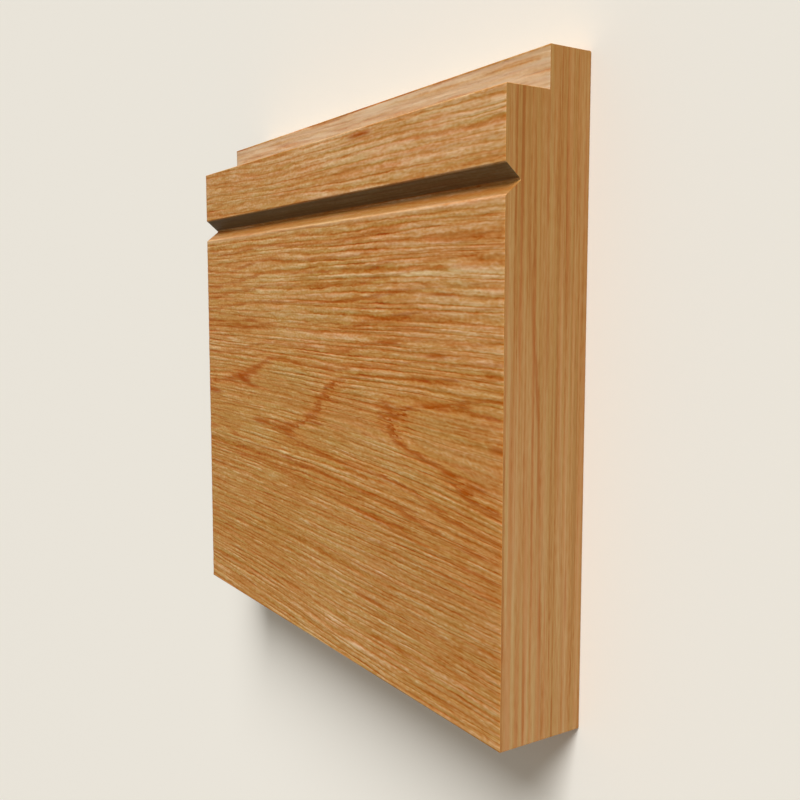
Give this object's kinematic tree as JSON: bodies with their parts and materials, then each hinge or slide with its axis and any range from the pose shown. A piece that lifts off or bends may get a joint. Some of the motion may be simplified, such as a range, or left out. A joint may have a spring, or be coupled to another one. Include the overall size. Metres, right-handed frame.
{
  "type": "skirting board length",
  "caption": "Short length of solid oak skirting board with a V groove and a stepped top edge, fixed along the foot of a wall.",
  "frame": {"origin": "middle of the back face, which is the face that goes against the wall", "axes": "+X along the length, +Y up the board's height from its foot to the stepped top edge, +Z out of the moulded front face. The board lies on its back."},
  "size_m": [0.142, 0.13, 0.02],
  "materials": {
    "oiled_oak": "planed and lightly brushed oak with a clear satin oil"
  },
  "bodies": {
    "root": {"skirting_board": "oiled_oak"}
  },
  "joints": []
}
